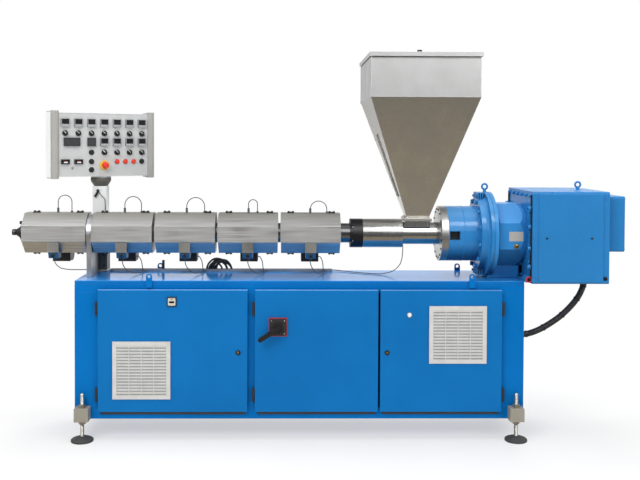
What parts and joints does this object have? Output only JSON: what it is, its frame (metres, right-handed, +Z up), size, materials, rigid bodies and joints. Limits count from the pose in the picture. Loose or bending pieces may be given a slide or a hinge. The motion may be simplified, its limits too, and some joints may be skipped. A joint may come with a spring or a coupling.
{
  "type": "single screw extruder",
  "caption": "Plastics extruder: a heated barrel on a blue cabinet bed, with a hopper, gearbox and motor, and a swivelling control panel.",
  "frame": {"origin": "on the floor, under the middle of the machine's box at rest", "axes": "+X along the screw from the die to the motor, +Y away from the operator, +Z up"},
  "size_m": [3.374, 0.7082, 2.0993],
  "materials": {
    "bed_blue": "gloss",
    "door_blue": "satin",
    "drive_blue": "satin",
    "cover_steel": "brushed",
    "hopper_steel": "brushed",
    "polished_steel": "polished",
    "dark_steel": "blackened",
    "bracket_paint": "satin",
    "pad_rubber": "matte",
    "black_plastic": "matte",
    "vent_plastic": "matte",
    "fitting_metal": "satin",
    "lead_grey": "matte",
    "tray_metal": "satin",
    "sight_dark": "gloss",
    "panel_grey": "satin",
    "cap_grey": "satin",
    "lamp_red": "gloss",
    "collar_yellow": "gloss"
  },
  "bodies": {
    "machine": {"bed_top": "bed_blue", "bed_floor": "bed_blue", "bed_back_wall": "bed_blue", "bed_end_walls": "bed_blue", "bed_front_rails": "bed_blue", "bed_front_posts": "bed_blue", "lifting_lugs": "bed_blue", "lantern": "drive_blue", "gearbox": "drive_blue", "gearbox_foot": "drive_blue", "lifting_eyes": "drive_blue", "motor": "drive_blue", "motor_end_box": "drive_blue", "heater_covers": "cover_steel", "terminal_boxes": "cover_steel", "hopper_bin": "hopper_steel", "hopper_cone": "hopper_steel", "hopper_flange": "hopper_steel", "lid_hinges": "hopper_steel", "feed_housing": "polished_steel", "barrel_flange": "polished_steel", "foot_spindles": "polished_steel", "barrel_support": "polished_steel", "barrel": "dark_steel", "die_adapter": "dark_steel", "feed_collar": "dark_steel", "joint_bolts": "dark_steel", "foot_brackets": "bracket_paint", "foot_pads": "pad_rubber", "hinge_pins": "black_plastic", "conduit_glands": "black_plastic", "motor_conduit": "black_plastic", "zone_blowers": "black_plastic", "thermocouple_leads": "lead_grey", "heater_leads": "lead_grey", "cable_tray": "tray_metal", "sight_strip": "sight_dark", "panel_column": "panel_grey", "panel_coupling": "cap_grey"},
    "door_left": {"door_left": "door_blue", "door_left_knuckles": "black_plastic", "door_left_vent": "vent_plastic", "door_left_fittings": "fitting_metal"},
    "door_middle": {"door_middle": "door_blue", "door_middle_knuckles": "black_plastic", "switch_plate": "black_plastic"},
    "switch": {"switch_handle": "black_plastic"},
    "door_right": {"door_right": "door_blue", "door_right_knuckles": "black_plastic", "door_right_vent": "vent_plastic", "door_right_fittings": "fitting_metal"},
    "lid": {"hopper_lid": "hopper_steel"},
    "panel": {"panel_box": "panel_grey", "panel_caps": "cap_grey", "panel_instruments": "black_plastic", "panel_controls": "black_plastic", "panel_lamps": "lamp_red", "stop_collar": "collar_yellow"},
    "stop": {"stop_button": "lamp_red"}
  },
  "joints": [
    {"name": "door_left_hinge", "type": "hinge", "parent": "machine", "child": "door_left", "pos_m": [-1.1725, -0.23307, 0.48], "axis": [0, 0, -1], "range_deg": [0, 90]},
    {"name": "door_middle_hinge", "type": "hinge", "parent": "machine", "child": "door_middle", "pos_m": [-0.3285, -0.23307, 0.48], "axis": [0, 0, -1], "range_deg": [0, 90]},
    {"name": "main_switch", "type": "hinge", "parent": "door_middle", "child": "switch", "pos_m": [-0.196, -0.24107, 0.616], "axis": [0, 1, 0], "range_deg": [0, 90]},
    {"name": "door_right_hinge", "type": "hinge", "parent": "machine", "child": "door_right", "pos_m": [1.0225, -0.23307, 0.48], "axis": [0, 0, 1], "range_deg": [0, 90]},
    {"name": "lid_hinge", "type": "hinge", "parent": "machine", "child": "lid", "pos_m": [0.579, 0.32993, 2.066], "axis": [-1, 0, 0], "range_deg": [0, 100]},
    {"name": "panel_swivel", "type": "hinge", "parent": "machine", "child": "panel", "pos_m": [-1.227, 0.15193, 1.404], "axis": [0, 0, 1], "range_deg": [-90, 60]},
    {"name": "stop_push", "type": "slide", "parent": "panel", "child": "stop", "axis": [-0.5, 0.866, 0], "range_m": [0, 0.004]}
  ]
}
